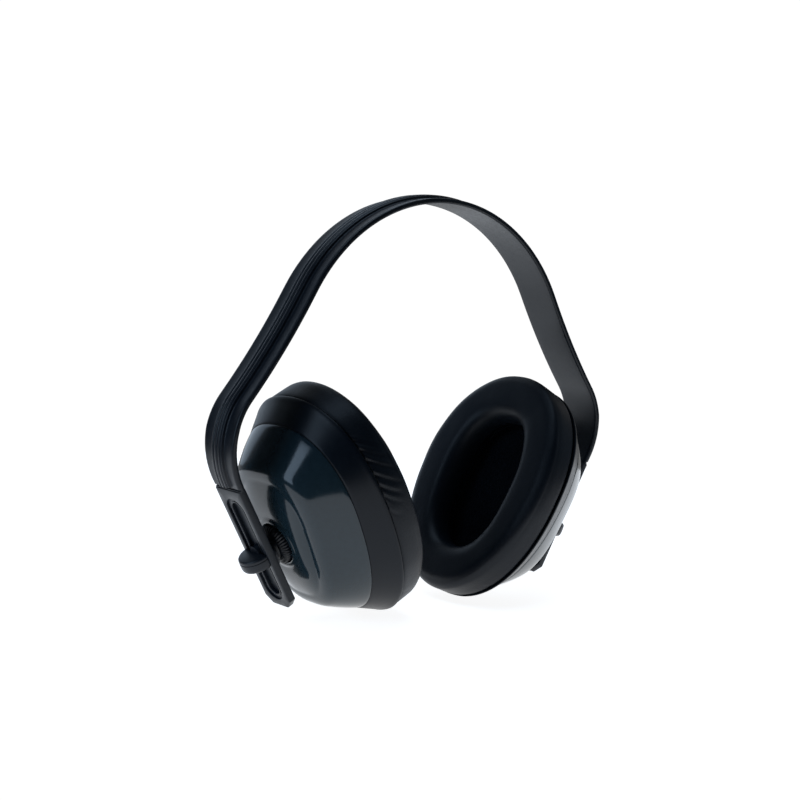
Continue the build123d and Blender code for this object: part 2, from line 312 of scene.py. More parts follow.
def open_foam(name, dark, light, scale):
    """Open-cell foam: matte, with every pore darkened by painted shade."""
    material, tree, shader = node_material(name, dark, 0.95, 0.12)
    where = object_coordinates(tree)
    cells = add_node(tree, "ShaderNodeTexVoronoi", feature="F1", in_Scale=scale)
    tree.links.new(where, cells.inputs["Vector"])
    broad = noise_of(tree, where, scale * 0.08, 3.0)
    # painted shade: the colour darkens towards the cell borders, where shade would fall into each pore
    pore_shade = spread_value(tree, cells.outputs["Distance"], 1.0, 0.0, 0.1, 0.62)
    blend = add_node(tree, "ShaderNodeMath", operation="MULTIPLY")
    tree.links.new(pore_shade, blend.inputs[0])
    tree.links.new(spread_value(tree, broad, 0.5, 1.0), blend.inputs[1])
    tree.links.new(mix_colors(tree, blend.outputs[0], dark, light), shader.inputs["Base Color"])
    bump_chain(tree, shader, [(cells.outputs["Distance"], 0.8, 0.0006), (broad, 0.5, 0.0010)])
    return material


BAND_PLASTIC = moulded_plastic("band_black_plastic", (0.0028, 0.0055, 0.0100), 0.36, 1500.0, 0.00003,
                               specular=0.32, dust=0.12)
HUB_PLASTIC = moulded_plastic("hub_black_plastic", (0.0016, 0.0030, 0.0058), 0.38, 1700.0, 0.00005,
                              specular=0.34)
SHELL_PLASTIC = moulded_plastic("shell_gloss_plastic", (0.0090, 0.0195, 0.0270), 0.14, 700.0, 0.000012,
                                specular=0.38, coat=0.12, coat_roughness=0.08, dust=0.08,
                                wave=(26.0, 0.00035))
RING_PLASTIC = moulded_plastic("ring_black_plastic", (0.0018, 0.0040, 0.0076), 0.33, 1300.0, 0.00002,
                               specular=0.21, dust=0.08, wave=(22.0, 0.00030))
SEAT_RUBBER = moulded_plastic("seat_rubber", (0.0200, 0.0200, 0.0205), 0.72, 2100.0, 0.00008, specular=0.3)
VINYL = vinyl()
LINER_FOAM = open_foam("liner_acoustic_foam", (0.0005, 0.0018, 0.0042), (0.0022, 0.0052, 0.0100), 900.0)


def finish_piece(piece, material, slot, body, *nodes):
    """Material, ride and the CAD nodes that the piece stands for; the slot argument is not used."""
    piece.data.materials.clear()
    piece.data.materials.append(material)
    if body:
        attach(piece, body)
    if nodes:
        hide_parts(*nodes)
    return piece


# ---------------------------------------------------------------- headband
CROWN_THICKNESS = 2.3
ARM_THICKNESS = 2.9
BAND_WIDTH = 21.0
ARM_WIDTH = 17.0
NARROWING_TOP = -94.0
NARROWING_END = -120.0
CROWN_RADIUS, CROWN_ANGLE = 79.6, 59.8
SHOULDER_LENGTH = 4.3
FLARE_RADIUS, FLARE_ANGLE, FLARE_END_LENGTH = 323.0, 8.0, 3.0
BEND_RADIUS, ARM_LEAN, ARM_LENGTH = 31.6, 29.8, 59.6
PLATE_START, PLATE_PROUD, TIP_CHAMFER = 2.3, 0.5, 3.4
KNOB_STATION = 35.3
SLOT_START, SLOT_END = 9.0, 54.0
SLOT_WIDTH, SLOT_RECESS_WIDTH, SLOT_RECESS_DEPTH = 6.8, 11.6, 0.9


def band_segments():
    crown = math.radians(CROWN_ANGLE)
    flare = math.radians(FLARE_ANGLE)
    bend = math.radians(90.0 + ARM_LEAN) - crown + flare
    return [
        (CROWN_RADIUS * crown, 1.0 / CROWN_RADIUS),
        (SHOULDER_LENGTH, 0.0),
        (FLARE_RADIUS * flare, -1.0 / FLARE_RADIUS),
        (FLARE_END_LENGTH, 0.0),
        (BEND_RADIUS * bend, 1.0 / BEND_RADIUS),
        (ARM_LENGTH, 0.0),
    ]


ARM_START = sum(length for length, _ in band_segments()) - ARM_LENGTH
TAPER_START = ARM_START - 28.0
TAPER_END = ARM_START - 2.0


def band_point(station):
    """Point of the outer flange line on the left, with its outward direction."""
    x, z, heading, left = 0.0, CROWN_THICKNESS, 0.0, station
    for length, curvature in band_segments():
        run = min(left, length)
        if curvature:
            turned = heading + run * curvature
            x += (math.sin(turned) - math.sin(heading)) / curvature
            z += (math.cos(turned) - math.cos(heading)) / curvature
            heading = turned
        else:
            x += run * math.cos(heading)
            z -= run * math.sin(heading)
        left -= run
        if left <= 0.0:
            break
    return np.array((-x, 0.0, z)), np.array((-math.sin(heading), 0.0, math.cos(heading)))


def band_thickness(station):
    share = min(1.0, max(0.0, (station - TAPER_START) / (TAPER_END - TAPER_START)))
    return CROWN_THICKNESS + (ARM_THICKNESS - CROWN_THICKNESS) * share * share * (3.0 - 2.0 * share)


def half_width_at(z):
    share = min(1.0, max(0.0, (NARROWING_TOP - z) / (NARROWING_TOP - NARROWING_END)))
    return (BAND_WIDTH + (ARM_WIDTH - BAND_WIDTH) * share) / 2.0


# Half of the outer face's section from the middle outward: distance across and height above the flange
RIB_SECTION = (
    (0.00, 1.50), (0.45, 1.47), (0.80, 1.36), (1.00, 1.12), (1.16, 1.02), (1.32, 1.12), (1.52, 1.34),
    (1.90, 1.44), (2.30, 1.42), (2.62, 1.28), (2.80, 1.02), (2.95, 0.92), (3.12, 1.00), (3.34, 1.02),
    (3.56, 0.92), (3.70, 0.70), (3.78, 0.30), (3.90, 0.06), (4.10, -0.06), (4.60, -0.10),
)
GROOVE_FROM_END = 1.5
GROOVE_WIDTH = 0.75
GROOVE_DEPTH = 0.55
RIB_ENDS_FROM_END = 2.6
BAND_STEP = 1.6


def band_section(station, end):
    """Closed section of the band at a station, over the rib and back along the inside."""
    point, outward = band_point(station)
    half = half_width_at(point[2])
    thick = band_thickness(station)
    rib = 1.0
    from_end = end - station
    if from_end < RIB_ENDS_FROM_END:
        rib = max(0.0, min(1.0, (from_end - GROOVE_FROM_END - 0.3) / 0.6))
    sink = 0.0
    if GROOVE_FROM_END - GROOVE_WIDTH < from_end < GROOVE_FROM_END + 0.1:
        sink = -GROOVE_DEPTH
    side = [(y, (h * rib if h > 0 else h) + sink) for y, h in RIB_SECTION]
    side += [
        (half - 2.4, -0.08 + sink), (half - 1.5, 0.0 + sink), (half - 0.85, 0.02 + sink),
        (half - 0.42, -0.04 + sink), (half - 0.14, -0.20 + sink), (half, -0.50 + sink),
        (half, -thick * 0.55), (half - 0.10, -thick + 0.62),
        (half - 0.34, -thick + 0.24), (half - 0.75, -thick + 0.03), (half - 1.30, -thick),
        (half * 0.62, -thick), (half * 0.30, -thick),
    ]
    section = [(-y, h) for y, h in reversed(side[1:])] + side + [(0.0, -thick)]
    return [point + outward * h + ACROSS * y for y, h in section]


def make_band_half(name, side):
    end = ARM_START + PLATE_START + 0.35
    stations = list(np.arange(0.0, end - 3.0, BAND_STEP))
    close_to_end = (3.0, 2.7, 2.4, 2.15, 1.95, 1.8, 1.62, 1.5, 1.45, 1.2, 0.95, 0.78, 0.72, 0.4, 0.0)
    stations += [end - d for d in close_to_end]
    rings = [band_section(s, end) for s in stations]
    points, faces = loft(rings, False)
    return soften(make_piece(name, points, faces, side), 48.0)


def arm_boundary(inset, x_top, x_tip, half, chamfer):
    """Convex outline of the arm plate, as corner points, drawn in by inset."""
    cut = chamfer + inset * (math.sqrt(2.0) - 1.0) * 0.4
    h = half - inset
    top, tip = x_top - inset, x_tip + inset
    return [(top, h), (tip + cut, h), (tip, h - cut), (tip, -h + cut), (tip + cut, -h), (top, -h)]


def ray_to(boundary, origin, direction):
    """Where a ray meets a convex outline."""
    best = None
    for (ax, ay), (bx, by) in zip(boundary, boundary[1:] + boundary[:1]):
        ex, ey = bx - ax, by - ay
        det = direction[0] * ey - direction[1] * ex
        if abs(det) < 1e-9:
            continue
        t = ((ax - origin[0]) * ey - (ay - origin[1]) * ex) / det
        u = ((ax - origin[0]) * direction[1] - (ay - origin[1]) * direction[0]) / det
        if t > 1e-6 and -1e-6 <= u <= 1.0 + 1e-6 and (best is None or t < best):
            best = t
    return origin[0] + direction[0] * best, origin[1] + direction[1] * best


TEETH = 62
# Thin dark web that closes the slot towards the cup: a dark sheet that stands in for the shade seen through
# the open slot
SHADE_WEB_DEPTH, SHADE_WEB_THICKNESS = -1.0, 0.4


def plate_directions():
    """Fixed set of ray origins and directions: along both rails, and round both ends of the slot."""
    middle_top = KNOB_STATION - SLOT_START - SLOT_WIDTH / 2.0
    middle_low = KNOB_STATION - SLOT_END + SLOT_WIDTH / 2.0
    x_top = KNOB_STATION - PLATE_START
    x_tip = KNOB_STATION - ARM_LENGTH
    half = ARM_WIDTH / 2.0
    rays = []
    for k in range(TEETH + 1):
        x = middle_top + (middle_low - middle_top) * k / TEETH
        rays.append(((x, 0.0), (0.0, 1.0), k))
    corners = [
        math.atan2(half, x_tip + TIP_CHAMFER - middle_low),
        math.atan2(half - TIP_CHAMFER, x_tip - middle_low),
    ]
    angles = sorted(set([math.pi / 2 + math.pi / 2 * i / 12 for i in range(1, 12)] + corners + [math.pi]))
    angles += [2.0 * math.pi - a for a in reversed(angles[:-1])]
    for a in angles:
        rays.append(((middle_low, 0.0), (math.cos(a), math.sin(a)), None))
    for k in range(TEETH + 1):
        x = middle_low + (middle_top - middle_low) * k / TEETH
        rays.append(((x, 0.0), (0.0, -1.0), k))
    corner = math.atan2(half, x_top - middle_top)
    angles = sorted(set([math.pi / 2 * i / 12 for i in range(1, 12)] + [corner]))
    angles = [-a for a in reversed(angles)] + [0.0] + angles
    for a in angles:
        rays.append(((middle_top, 0.0), (math.cos(a), math.sin(a)), None))
    return rays


def make_arm_plate(name, side):
    rays = plate_directions()
    x_top = KNOB_STATION - PLATE_START
    x_tip = KNOB_STATION - ARM_LENGTH
    half = ARM_WIDTH / 2.0
    outer_z = -(ARM_THICKNESS + PLATE_PROUD)
    floor_z = outer_z + SLOT_RECESS_DEPTH

    def boundary_loop(inset, z):
        edge = arm_boundary(inset, x_top, x_tip, half, TIP_CHAMFER)
        return [(*ray_to(edge, o, d), z) for o, d, _ in rays]

    def stadium_loop(radius, z, tooth=0.0):
        loop = []
        for origin, direction, k in rays:
            lift = tooth if k is not None and k % 2 and 0 < k < TEETH else 0.0
            loop.append((origin[0] + direction[0] * radius, origin[1] + direction[1] * radius, z + lift))
        return loop

    recess = SLOT_RECESS_WIDTH / 2.0
    slot = SLOT_WIDTH / 2.0
    loops = [
        boundary_loop(0.0, -0.45), boundary_loop(0.0, outer_z + 0.5), boundary_loop(0.12, outer_z + 0.17),
        boundary_loop(0.42, outer_z),
        stadium_loop(recess + 0.28, outer_z), stadium_loop(recess + 0.05, outer_z + 0.10),
        stadium_loop(recess, outer_z + 0.3), stadium_loop(recess - 0.02, floor_z, 0.45),
        stadium_loop(slot + 0.85, floor_z, 0.45), stadium_loop(slot + 0.80, floor_z - 0.25),
        stadium_loop(slot + 0.25, floor_z - 0.30), stadium_loop(slot, floor_z - 0.05),
        # these loops close the slot with the dark web, a sheet put where there is only painted shade
        stadium_loop(slot - 0.02, SHADE_WEB_DEPTH - 0.12), stadium_loop(slot - 0.3, SHADE_WEB_DEPTH),
        stadium_loop(0.04, SHADE_WEB_DEPTH), stadium_loop(0.04, SHADE_WEB_DEPTH + SHADE_WEB_THICKNESS),
        stadium_loop(slot - 0.1, SHADE_WEB_DEPTH + SHADE_WEB_THICKNESS),
        stadium_loop(slot, -0.2), stadium_loop(slot + 0.25, 0.0), boundary_loop(0.45, 0.0),
        boundary_loop(0.10, -0.15),
    ]
    rings = [[in_arm(x, y, z) for x, y, z in loop] for loop in loops]
    points, faces = loft(rings, True)
    return soften(make_piece(name, points, faces, side), 30.0)


# ---------------------------------------------------------------- slider knob and pivot hub
KNOB_GAP = 0.15
KNOB_WIDTH, KNOB_HEIGHT, KNOB_THICKNESS = 15.0, 7.8, 6.0
GUIDE_LENGTH, GUIDE_CLEARANCE, NECK_RADIUS, BALL_RADIUS = 11.0, 0.2, 2.7, 5.0


def half_moon(inset, base, count=64):
    """Half-moon finger grip outline in (across, depth): a flat base and a round back."""
    half = KNOB_WIDTH / 2.0 - inset
    height = KNOB_HEIGHT - inset
    loop = []
    for k in range(count):
        angle = math.pi * k / (count - 1)
        bulge = math.sin(angle) ** 0.92
        loop.append((half * math.cos(angle), base - height * bulge))
    for k in range(1, 10):
        y = -half + 2.0 * half * k / 10.0
        loop.append((y, base))
    return loop


def make_knob(name, side):
    base = -(ARM_THICKNESS + PLATE_PROUD) - KNOB_GAP
    half = KNOB_THICKNESS / 2.0
    steps = [
        (-half, 1.55), (-half + 0.12, 0.95), (-half + 0.42, 0.45), (-half + 0.95, 0.14), (-half + 1.7, 0.0),
        (0.55, 0.0), (1.05, 0.05), (1.18, 0.34), (1.32, 0.36), (1.45, 0.10), (1.9, 0.08), (half - 0.45, 0.22),
        (half - 0.14, 0.50), (half, 0.95),
    ]
    grip = loft([[in_arm(x, y, z) for y, z in half_moon(inset, base)] for x, inset in steps], False)
    guide_radius = SLOT_WIDTH / 2.0 - GUIDE_CLEARANCE
    straight = GUIDE_LENGTH / 2.0 - guide_radius

    def guide_loop(radius, z):
        loop = []
        for k in range(48):
            angle = 2.0 * math.pi * k / 48
            shift = straight if math.cos(angle) >= 0 else -straight
            loop.append(in_arm(shift + radius * math.cos(angle), radius * math.sin(angle), z))
        return loop

    guide = loft([guide_loop(guide_radius, base - 0.2), guide_loop(guide_radius, -0.35),
                  guide_loop(guide_radius - 0.3, -0.05)], False)
    profile = [(NECK_RADIUS, -0.8), (NECK_RADIUS, 1.2)]
    start = math.asin(NECK_RADIUS / BALL_RADIUS)
    for k in range(15):
        angle = start + (math.pi - start - 0.06) * k / 14
        profile.append((BALL_RADIUS * math.sin(angle), BALL_DEPTH - BALL_RADIUS * math.cos(angle)))
    neck = loft([
        [in_arm(r * math.cos(2 * math.pi * k / 40), r * math.sin(2 * math.pi * k / 40), d) for k in range(40)]
        for r, d in profile
    ], False)
    points, faces = join_parts([grip, guide, neck])
    return soften(make_piece(name, points, faces, side), 40.0)


HUB_SHOULDER = 5.5
HUB_SPIGOT_RADIUS, HUB_SPIGOT_END, HUB_MOUTH_RADIUS, SOCKET_RADIUS = 8.2, 16.0, 4.9, 6.55
HUB_RIBS, HUB_RIB_DEPTH = 40, 0.42


def make_hub(name, side):
    """Round boss with fine ribs, a socket for the ball seat and a spigot into the shell."""
    def ribs(radius, depth, angle):
        inside = 3.6 < depth < 9.3 and radius > 7.0
        wave = 0.5 + 0.5 * math.cos(HUB_RIBS * angle)
        return radius - (HUB_RIB_DEPTH * (1.0 - wave ** 0.7) if inside else 0.0)

    profile = [
        (HUB_MOUTH_RADIUS, 3.75), (HUB_MOUTH_RADIUS + 0.3, 3.48), (5.7, 3.46), (6.1, 3.58),
        (6.5, 3.84), (6.9, 4.1), (7.5, 4.55), (8.1, 5.0),
        (8.5, HUB_SHOULDER), (8.7, HUB_SHOULDER + 0.7), (8.75, 7.4), (8.75, 8.9), (8.68, 9.35),
        (8.68, 9.75), (8.5, 9.92), (HUB_SPIGOT_RADIUS, 9.92), (HUB_SPIGOT_RADIUS, 11.0),
        (HUB_SPIGOT_RADIUS, HUB_SPIGOT_END - 0.6),
        (HUB_SPIGOT_RADIUS - 0.5, HUB_SPIGOT_END), (4.0, HUB_SPIGOT_END), (0.3, HUB_SPIGOT_END),
        (0.3, BALL_DEPTH + SOCKET_RADIUS - 0.01),
    ]
    mouth = math.asin(HUB_MOUTH_RADIUS / SOCKET_RADIUS)
    for k in range(1, 13):
        angle = 0.10 + (math.pi - mouth - 0.10) * k / 12
        profile.append((SOCKET_RADIUS * math.sin(angle), BALL_DEPTH + SOCKET_RADIUS * math.cos(angle)))
    points, faces = loft(spin(profile, 240, ribs), True)
    return soften(make_piece(name, points, faces, side), 34.0)


# ---------------------------------------------------------------- cup shell and rim ring
SHELL_BACK_DEPTH, SHELL_RIM_DEPTH, SHELL_WALL = 10.0, 26.9, 2.6
SHELL_BACK, SHELL_RIM = (31.4, 21.9, 2.95), (44.4, 33.1, 2.3)
SHELL_TOP_WIDENING, RING_TOP_WIDENING = 0.14, 0.065
RING_END_DEPTH, RING_WALL, RING_END = 37.0, 2.2, (52.0, 40.0, 2.25)
HOLE_RADIUS = 8.28
BACK_DOME = 3.0


def shell_shape(depth):
    share = max(0.0, min(1.0, (depth - SHELL_BACK_DEPTH) / (SHELL_RIM_DEPTH - SHELL_BACK_DEPTH)))
    ease = share * (1.16 - 0.16 * share)
    return tuple(b + (r - b) * ease for b, r in zip(SHELL_BACK, SHELL_RIM))


def shell_outline(depth, inset=0.0):
    return outline(shell_shape(depth), inset, SHELL_TOP_WIDENING)


def blend_rings(first, second, share):
    return first + (second - first) * share


# Collar round the hub: radius and depth
SHELL_COLLAR = (
    (8.5, 10.0), (8.86, 9.9), (8.94, 9.4), (8.98, 7.3), (9.15, 6.92), (9.5, 6.7), (10.1, 6.62),
    (10.8, 6.7), (11.3, 7.0), (11.8, 7.20), (12.6, 7.26),
)
SHELL_BACK_SHARES = (0.08, 0.16, 0.25, 0.34, 0.43, 0.52, 0.61, 0.7, 0.79, 0.87, 0.94, 1.0)


def make_shell(name, side):
    edge_inset, edge_rise = 4.2, 3.3
    rings = [cup_ring(circle(HOLE_RADIUS), 11.4), cup_ring(circle(HOLE_RADIUS), 10.1)]
    for radius, depth in SHELL_COLLAR:
        rings.append(cup_ring(circle(radius), depth))
    flat_edge = shell_outline(SHELL_BACK_DEPTH, edge_inset)
    start = circle(SHELL_COLLAR[-1][0])
    base = SHELL_BACK_DEPTH + 0.25
    for share in SHELL_BACK_SHARES:
        rings.append(cup_ring(blend_rings(start, flat_edge, share), base - BACK_DOME * (1.0 - share ** 1.9)))
    out = shell_shape(SHELL_BACK_DEPTH + edge_rise)[0] - SHELL_BACK[0]
    for k in range(1, 11):
        share = k / 10.0
        depth = base + (edge_rise - (base - SHELL_BACK_DEPTH)) * share ** 2
        inset = (1 - share) ** 2 * edge_inset - share ** 2 * out + shell_shape(depth)[0] - SHELL_BACK[0]
        rings.append(cup_ring(shell_outline(depth, inset), depth))
    for depth in np.linspace(SHELL_BACK_DEPTH + edge_rise, SHELL_RIM_DEPTH - 0.45, 12)[1:]:
        rings.append(cup_ring(shell_outline(depth), depth))
    rings.append(cup_ring(shell_outline(SHELL_RIM_DEPTH - 0.18, 0.08), SHELL_RIM_DEPTH - 0.18))
    rings.append(cup_ring(shell_outline(SHELL_RIM_DEPTH, 0.34), SHELL_RIM_DEPTH - 0.02))
    rings.append(cup_ring(shell_outline(SHELL_RIM_DEPTH, SHELL_WALL), SHELL_RIM_DEPTH - 0.02))
    for depth in np.linspace(SHELL_RIM_DEPTH - 1.0, SHELL_BACK_DEPTH + 4.5, 6):
        rings.append(cup_ring(shell_outline(depth, SHELL_WALL), depth))
    inner = SHELL_BACK_DEPTH + SHELL_WALL
    rings.append(cup_ring(shell_outline(SHELL_BACK_DEPTH + 3.2, SHELL_WALL + 0.9), inner + 0.5))
    rings.append(cup_ring(shell_outline(SHELL_BACK_DEPTH + 2.6, SHELL_WALL + 2.2), inner))
    rings.append(cup_ring(circle(13.0), inner))
    rings.append(cup_ring(circle(HOLE_RADIUS), inner))
    points, faces = loft(rings, True)
    return soften(make_piece(name, points, faces, side), 40.0)


def ring_outline(depth, inset=0.0):
    share = (depth - SHELL_RIM_DEPTH) / (RING_END_DEPTH - SHELL_RIM_DEPTH)
    shape = tuple(b + (r - b) * share for b, r in zip(SHELL_RIM, RING_END))
    widening = SHELL_TOP_WIDENING + (RING_TOP_WIDENING - SHELL_TOP_WIDENING) * share
    return outline(shape, inset, widening)


def make_rim_ring(name, side):
    steps = [(26.98, 0.45), (27.05, 0.24), (27.25, 0.06), (27.6, 0.0)]
    steps += [(d, 0.0) for d in np.linspace(28.6, 34.6, 7)]
    steps += [
        (35.4, -0.05), (36.0, -0.10), (36.5, -0.02), (37.0, 0.14), (37.3, 0.42), (37.35, 0.80), (37.2, 1.5),
        (36.8, RING_WALL),
    ]
    steps += [(d, RING_WALL) for d in (34.5, 32.0, 29.5, 27.4)] + [(26.98, RING_WALL)]
    rings = [cup_ring(ring_outline(d, inset), d) for d, inset in steps]
    points, faces = loft(rings, True)
    return soften(make_piece(name, points, faces, side), 40.0)


# ---------------------------------------------------------------- cushion
# Closed profile of the cushion: half height, half width, roundness, depth
CUSHION_PROFILE = (
    (49.4, 37.4, 2.25, 37.9), (51.2, 39.0, 2.22, 38.05), (51.9, 39.6, 2.18, 39.6), (52.3, 39.8, 2.12, 43.2),
    (52.8, 40.1, 2.06, 46.8), (52.9, 40.1, 2.05, 48.8), (52.1, 39.2, 2.08, 50.4), (50.4, 37.5, 2.15, 51.3),
    (47.6, 34.8, 2.2, 51.7), (43.0, 30.4, 2.3, 51.8), (38.4, 26.0, 2.35, 51.7), (35.0, 22.7, 2.4, 51.1),
    (33.2, 21.0, 2.45, 49.8), (32.0, 19.9, 2.5, 47.4), (31.4, 19.4, 2.5, 44.0), (31.6, 19.6, 2.5, 41.0),
    (33.0, 20.9, 2.5, 38.4), (35.5, 23.4, 2.45, 38.0), (41.0, 29.0, 2.35, 38.0), (47.0, 34.9, 2.28, 38.0),
)
CUSHION_SIDES = 240
CUSHION_STEPS = 40
FULL_WIDENING_HEIGHT = 50.0
# Air pressure that rounds the film, with the film enlarged so that the solver's steps suit its size
FILM_PRESSURE, FILM_FRAMES, FILM_SCALE = 4.0, 20, 10.0
HELD_DEPTH = 38.9
SMOOTHING_REACH, MOST_SHIFT = 12, 0.45


def closed_curve(knots, count):
    """Catmull-Rom curve through closed knots, with even knot spacing."""
    knots = np.array(knots, float)
    size = len(knots)
    result = []
    for k in range(count):
        place = k * size / count
        i = int(place)
        t = place - i
        a, b, c, d = (knots[(i + j) % size] for j in (-1, 0, 1, 2))
        square = (2 * a - 5 * b + 4 * c - d) * t * t
        cube = (3 * b - a - 3 * c + d) * t ** 3
        result.append(0.5 * (2 * b + (c - a) * t + square + cube))
    return result


def cushion_rings():
    rings = []
    for half_height, half_width, roundness, depth in closed_curve(CUSHION_PROFILE, CUSHION_STEPS):
        widening = RING_TOP_WIDENING * min(1.0, half_height / FULL_WIDENING_HEIGHT)
        flat = outline((half_height, half_width, roundness), 0.0, widening, CUSHION_SIDES)
        rings.append([(x, y, depth) for x, y in flat])
    return np.array(rings)


def puffed(rings):
    """Rings of the film under a little air pressure, held at its welded back and smoothed."""
    steps, sides, _ = rings.shape
    points = [tuple(p * MM * FILM_SCALE) for ring in rings for p in ring]
    _, faces = loft([list(r) for r in rings], True)
    mesh = bpy.data.meshes.new("film")
    mesh.from_pydata(points, [], faces)
    film = bpy.data.objects.new("film", mesh)
    bpy.context.scene.collection.objects.link(film)
    work = bmesh.new()
    work.from_mesh(mesh)
    bmesh.ops.recalc_face_normals(work, faces=work.faces)
    work.to_mesh(mesh)
    work.free()
    held = film.vertex_groups.new(name="held")
    for i in range(steps):
        depth = rings[i, :, 2].mean()
        if depth < HELD_DEPTH:
            held.add(list(range(i * sides, (i + 1) * sides)), 1.0, "REPLACE")
    cloth = film.modifiers.new("Cloth", "CLOTH")
    settings = cloth.settings
    settings.use_pressure = True
    settings.uniform_pressure_force = FILM_PRESSURE
    settings.vertex_group_mass = "held"
    settings.effector_weights.gravity = 0.0
    settings.bending_stiffness = 0.8
    cloth.point_cache.frame_start = 1
    cloth.point_cache.frame_end = FILM_FRAMES
    scene = bpy.context.scene
    for number in range(1, FILM_FRAMES + 1):
        scene.frame_set(number)
        bpy.context.view_layer.update()
    evaluated = film.evaluated_get(bpy.context.evaluated_depsgraph_get())
    moved = np.array([v.co for v in evaluated.to_mesh().vertices]) / (MM * FILM_SCALE)
    evaluated.to_mesh_clear()
    bpy.data.objects.remove(film, do_unlink=True)
    scene.frame_set(1)
    shift = moved.reshape(rings.shape) - rings
    reach = SMOOTHING_REACH
    weighted = (np.roll(shift, k, 1) * (reach + 1 - abs(k)) for k in range(-reach, reach + 1))
    shift = sum(weighted) / float((reach + 1) ** 2)
    for _ in range(2):
        shift = (np.roll(shift, 1, 0) + 2.0 * shift + np.roll(shift, -1, 0)) / 4.0
    size = np.linalg.norm(shift, axis=2, keepdims=True)
    return rings + shift * np.minimum(1.0, MOST_SHIFT / np.maximum(size, 1e-9))


def refine(rings):
    """Twice the rings and points, on a smooth curve through the coarse ones."""
    def double(values, axis):
        before = np.roll(values, 1, axis)
        after = np.roll(values, -1, axis)
        after_two = np.roll(values, -2, axis)
        middle = (9.0 * (values + after) - before - after_two) / 16.0
        mixed = np.stack([values, middle], axis + 1)
        shape = list(values.shape)
        shape[axis] *= 2
        return mixed.reshape(shape)
    return double(double(rings, 0), 1)


# Creases of the film: share of the way round from the top, lean, length and depth
CREASES = {
    -1: (
        (0.8800, 0.034, 11.0, 0.62), (0.8640, 0.040, 13.0, 0.78), (0.8475, 0.042, 13.5, 0.85),
        (0.8260, 0.040, 12.5, 0.74), (0.8080, 0.036, 11.0, 0.70), (0.7930, 0.032, 9.0, 0.50),
        (0.7700, 0.026, 7.0, 0.32), (0.1180, -0.030, 9.0, 0.36), (0.1420, -0.032, 10.0, 0.42),
        (0.1660, -0.030, 8.0, 0.34), (0.6150, 0.018, 7.0, 0.26), (0.3650, -0.018, 7.0, 0.28),
    ),
    1: (
        (0.1350, -0.032, 10.0, 0.50), (0.1490, -0.036, 12.0, 0.62), (0.1665, -0.036, 11.0, 0.56),
        (0.1850, -0.030, 8.0, 0.38), (0.3900, -0.018, 7.0, 0.30), (0.5900, 0.018, 6.5, 0.24),
        (0.3550, -0.016, 6.5, 0.26),
    ),
}


def crease(rings, side):
    """Presses the creases into the outer wall, from the seam towards the front."""
    steps, sides, _ = rings.shape
    centre = rings.mean(axis=0, keepdims=True)
    outward = rings - centre
    outward /= np.linalg.norm(outward, axis=2, keepdims=True)
    along = np.zeros((steps, sides))
    travelled = np.zeros(sides)
    for i in range(1, steps // 2):
        travelled = travelled + np.linalg.norm(rings[i] - rings[i - 1], axis=1)
        along[i] = travelled
    around = (np.arange(sides) / sides)[None, :]
    girth = np.linalg.norm(np.roll(rings[steps // 5], -1, 0) - rings[steps // 5], axis=1).sum()
    press = np.zeros((steps, sides))
    for start, lean, length, depth in CREASES[side]:
        share = along / length
        line = start - lean * np.clip(share, 0.0, 1.4) - 0.004 * np.sin(share * 3.0) * np.sign(lean)
        gap = (around - line + 0.5) % 1.0 - 0.5
        gap = gap * girth
        width = 0.75 + 0.55 * np.clip(share, 0.0, 1.5)
        fade = np.clip(1.0 - share, 0.0, 1.0) ** 0.8 * np.clip(along / 0.8, 0.0, 1.0)
        valley = np.exp(-(gap / width) ** 2)
        ridge = 0.55 * np.exp(-((gap - 1.75 * width) / (1.1 * width)) ** 2)
        press += depth * fade * (ridge - valley)
    press[steps // 2:] = 0.0
    press *= (rings[:, :, 2] > 38.2)
    return rings + outward * press[:, :, None]


UNEVENNESS = 0.22


def slow_unevenness(rings, seed):
    """Slight unevenness of the padding, as geometry."""
    steps, sides, _ = rings.shape
    centre = rings.mean(axis=0, keepdims=True)
    outward = rings - centre
    outward /= np.linalg.norm(outward, axis=2, keepdims=True)
    amount = np.zeros((steps, sides))
    for i in range(steps):
        for k in range(sides):
            if rings[i, k, 2] > 38.3:
                amount[i, k] = noise.noise(Vector(rings[i, k] * 0.075) + Vector((seed, 0.0, 0.0)))
    return rings + outward * (UNEVENNESS * amount)[:, :, None]


def make_cushion(name, base, side):
    rings = crease(slow_unevenness(refine(base), 3.7 if side < 0 else 9.2), side)
    placed = [[in_cup(*p) for p in ring] for ring in rings]
    points, faces = loft(placed, True)
    return make_piece(name, points, faces, side)


def make_weld_plate(name, side):
    """Oval back of the cushion, set in so that a dark groove shows round it."""
    outside, hole = (49.5, 37.5, 2.25), (32.4, 20.3, 2.5)
    rings = []
    for shape, depth in ((outside, 37.0), (outside, 37.9), (hole, 37.9), (hole, 37.0)):
        rings.append(cup_ring(outline(shape, 0.0, RING_TOP_WIDENING if shape is outside else 0.0), depth))
    points, faces = loft(rings, True)
    return soften(make_piece(name, points, faces, side), 30.0)


# ---------------------------------------------------------------- liner foam
LINER_START, LINER_END, LINER_GAP = 17.6, 34.6, 1.0


